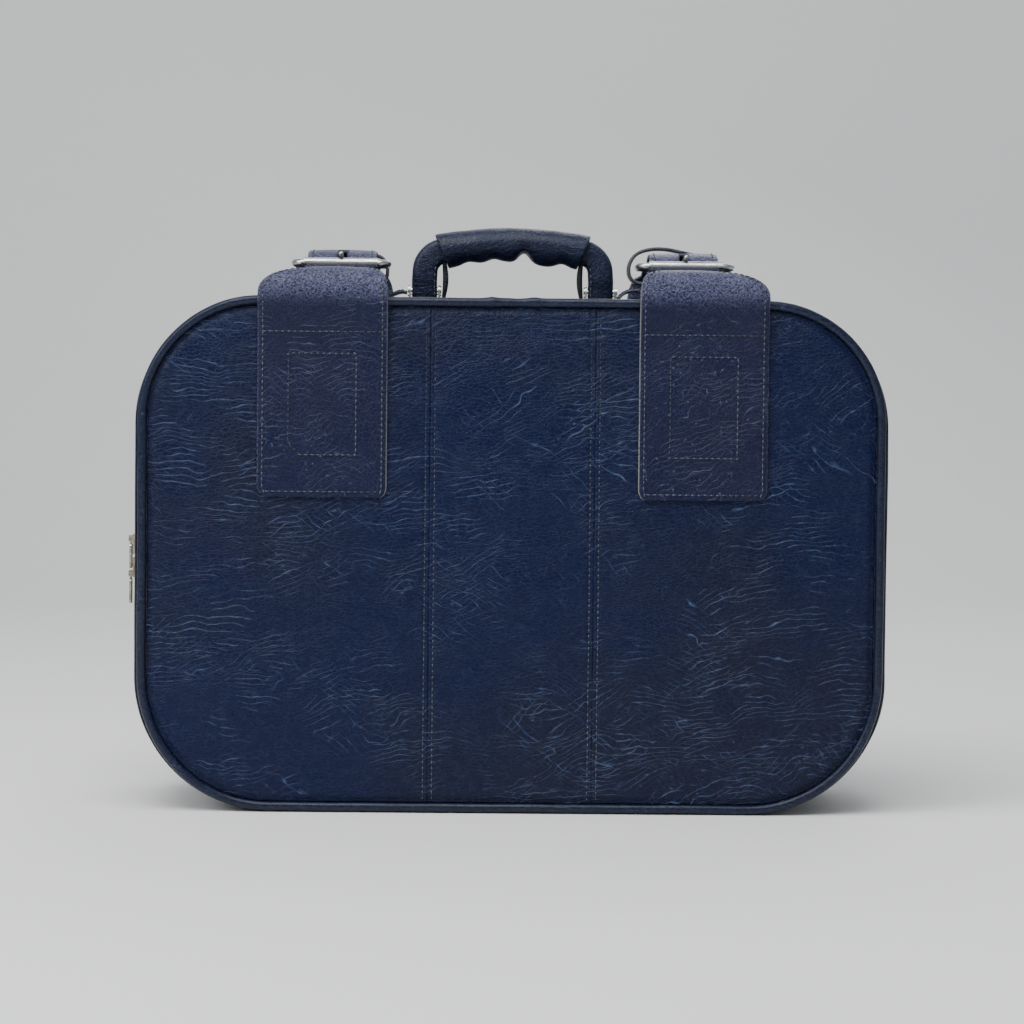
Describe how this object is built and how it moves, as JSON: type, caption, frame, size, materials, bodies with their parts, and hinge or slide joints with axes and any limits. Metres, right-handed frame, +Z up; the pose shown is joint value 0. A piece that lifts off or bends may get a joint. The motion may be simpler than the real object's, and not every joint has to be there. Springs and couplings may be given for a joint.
{
  "type": "zip-round leather overnight case",
  "caption": "Soft-sided rounded leather case with a zip-round lid, buckled top straps, loose keepers and a folding finger-groove handle.",
  "frame": {"origin": "middle of the case's underside, on the surface it stands on, midway between the front and back faces", "axes": "+X along the case's length, -Y out of the lid (front) face, +Z up towards the handle"},
  "size_m": [0.4529, 0.1406, 0.3517],
  "materials": {
    "navy_leather": "deep navy cowhide with fine creases and a worn satin polish",
    "band_leather": "deep navy leather, smoother and glossier than the panels",
    "strap_leather": "navy strap leather with a purple cast where it bends",
    "handle_leather": "blue-black handle leather, polished by use",
    "pad_leather": "dark grey-green lining leather",
    "nickel_steel": "dulled nickel plate with fine scratches",
    "zip_metal": "aged zip metal",
    "zip_tape": "woven cotton tape, near black",
    "lining_cloth": "woven lining, warm grey",
    "fibreboard": "brown fibreboard",
    "foam_padding": "cream wadding",
    "piping_cord": "twisted cotton cord",
    "plain_steel": "mill-finish strip"
  },
  "bodies": {
    "case": {"anchor_patch_left": "strap_leather", "anchor_patch_right": "strap_leather", "back_board": "fibreboard", "back_foam": "foam_padding", "back_panel": "navy_leather", "back_piping": "band_leather", "back_piping_cord": "piping_cord", "band_stiffener": "fibreboard", "case_band": "band_leather", "case_lining": "lining_cloth", "case_zip_tape": "zip_tape", "case_zip_teeth": "zip_metal", "handle_backing_plate": "plain_steel", "handle_bracket_left": "nickel_steel", "handle_bracket_right": "nickel_steel", "handle_pins": "nickel_steel", "handle_rivets": "nickel_steel", "hinge_strip": "band_leather", "rear_strap_left": "strap_leather", "rear_strap_right": "strap_leather"},
    "lid": {"front_board": "fibreboard", "front_foam": "foam_padding", "front_panel_centre": "navy_leather", "front_panel_left": "navy_leather", "front_panel_right": "navy_leather", "front_piping": "band_leather", "front_piping_cord": "piping_cord", "lid_band": "band_leather", "lid_lining": "lining_cloth", "lid_zip_tape": "zip_tape", "lid_zip_teeth": "zip_metal", "strap_tab_left": "strap_leather", "strap_tab_right": "strap_leather", "tongue_left": "strap_leather", "tongue_right": "strap_leather"},
    "handle": {"handle_core": "plain_steel", "handle_grip": "handle_leather", "handle_inner_pad_left": "pad_leather", "handle_inner_pad_right": "pad_leather", "handle_leg_left": "handle_leather", "handle_leg_right": "handle_leather"},
    "buckle_frame_left": {"buckle_frame_left": "nickel_steel"},
    "buckle_roller_left": {"buckle_roller_left": "nickel_steel"},
    "buckle_prong_left": {"buckle_prong_left": "nickel_steel"},
    "keeper_left": {"keeper_left": "strap_leather"},
    "buckle_frame_right": {"buckle_frame_right": "nickel_steel"},
    "buckle_roller_right": {"buckle_roller_right": "nickel_steel"},
    "buckle_prong_right": {"buckle_prong_right": "nickel_steel"},
    "keeper_right": {"keeper_right": "strap_leather"},
    "zip_slider_upper": {"zip_slider_upper": "zip_metal"},
    "zip_pull_upper": {"zip_pull_upper": "zip_metal"},
    "zip_slider_lower": {"zip_slider_lower": "zip_metal"},
    "zip_pull_lower": {"zip_pull_lower": "zip_metal"}
  },
  "joints": [
    {"name": "lid_open", "type": "hinge", "parent": "case", "child": "lid", "pos_m": [0, -0.048, 0], "axis": [1, 0, 0], "range_deg": [0, 75], "deforming": ["tongue_left", "tongue_right", "hinge_strip"]},
    {"name": "handle_fold", "type": "hinge", "parent": "case", "child": "handle", "pos_m": [0, 0, 0.3126], "axis": [1, 0, 0], "range_deg": [-75, 75]},
    {"name": "buckle_frame_left_lift", "type": "hinge", "parent": "case", "child": "buckle_frame_left", "pos_m": [-0.104, -0.008, 0.3278], "axis": [-1, 0, 0], "range_deg": [0, 55]},
    {"name": "buckle_prong_left_swing", "type": "hinge", "parent": "buckle_frame_left", "child": "buckle_prong_left", "pos_m": [-0.104, -0.008, 0.3278], "axis": [-1, 0, 0], "range_deg": [0, 85]},
    {"name": "buckle_roller_left_turn", "type": "hinge", "parent": "buckle_frame_left", "child": "buckle_roller_left", "pos_m": [-0.104, -0.032, 0.3278], "axis": [1, 0, 0], "continuous": true},
    {"name": "keeper_left_slide", "type": "slide", "parent": "case", "child": "keeper_left", "axis": [0, 1, 0], "range_m": [-0.002, 0.01]},
    {"name": "buckle_frame_right_lift", "type": "hinge", "parent": "case", "child": "buckle_frame_right", "pos_m": [0.104, -0.008, 0.3278], "axis": [-1, 0, 0], "range_deg": [0, 55]},
    {"name": "buckle_prong_right_swing", "type": "hinge", "parent": "buckle_frame_right", "child": "buckle_prong_right", "pos_m": [0.104, -0.008, 0.3278], "axis": [-1, 0, 0], "range_deg": [0, 85]},
    {"name": "buckle_roller_right_turn", "type": "hinge", "parent": "buckle_frame_right", "child": "buckle_roller_right", "pos_m": [0.104, -0.032, 0.3278], "axis": [1, 0, 0], "continuous": true},
    {"name": "keeper_right_slide", "type": "slide", "parent": "case", "child": "keeper_right", "axis": [0, 1, 0], "range_m": [-0.002, 0.01]},
    {"name": "zip_slider_upper_run", "type": "slide", "parent": "case", "child": "zip_slider_upper", "axis": [0, 0, 1], "range_m": [0, 0.064]},
    {"name": "zip_pull_upper_swing", "type": "hinge", "parent": "zip_slider_upper", "child": "zip_pull_upper", "pos_m": [-0.2277, -0.048, 0.1615], "axis": [0, 1, 0], "range_deg": [0, 120]},
    {"name": "zip_slider_lower_run", "type": "slide", "parent": "case", "child": "zip_slider_lower", "axis": [0, 0, -1], "range_m": [0, 0.054]},
    {"name": "zip_pull_lower_swing", "type": "hinge", "parent": "zip_slider_lower", "child": "zip_pull_lower", "pos_m": [-0.2277, -0.048, 0.1405], "axis": [0, 1, 0], "range_deg": [0, 120]}
  ]
}
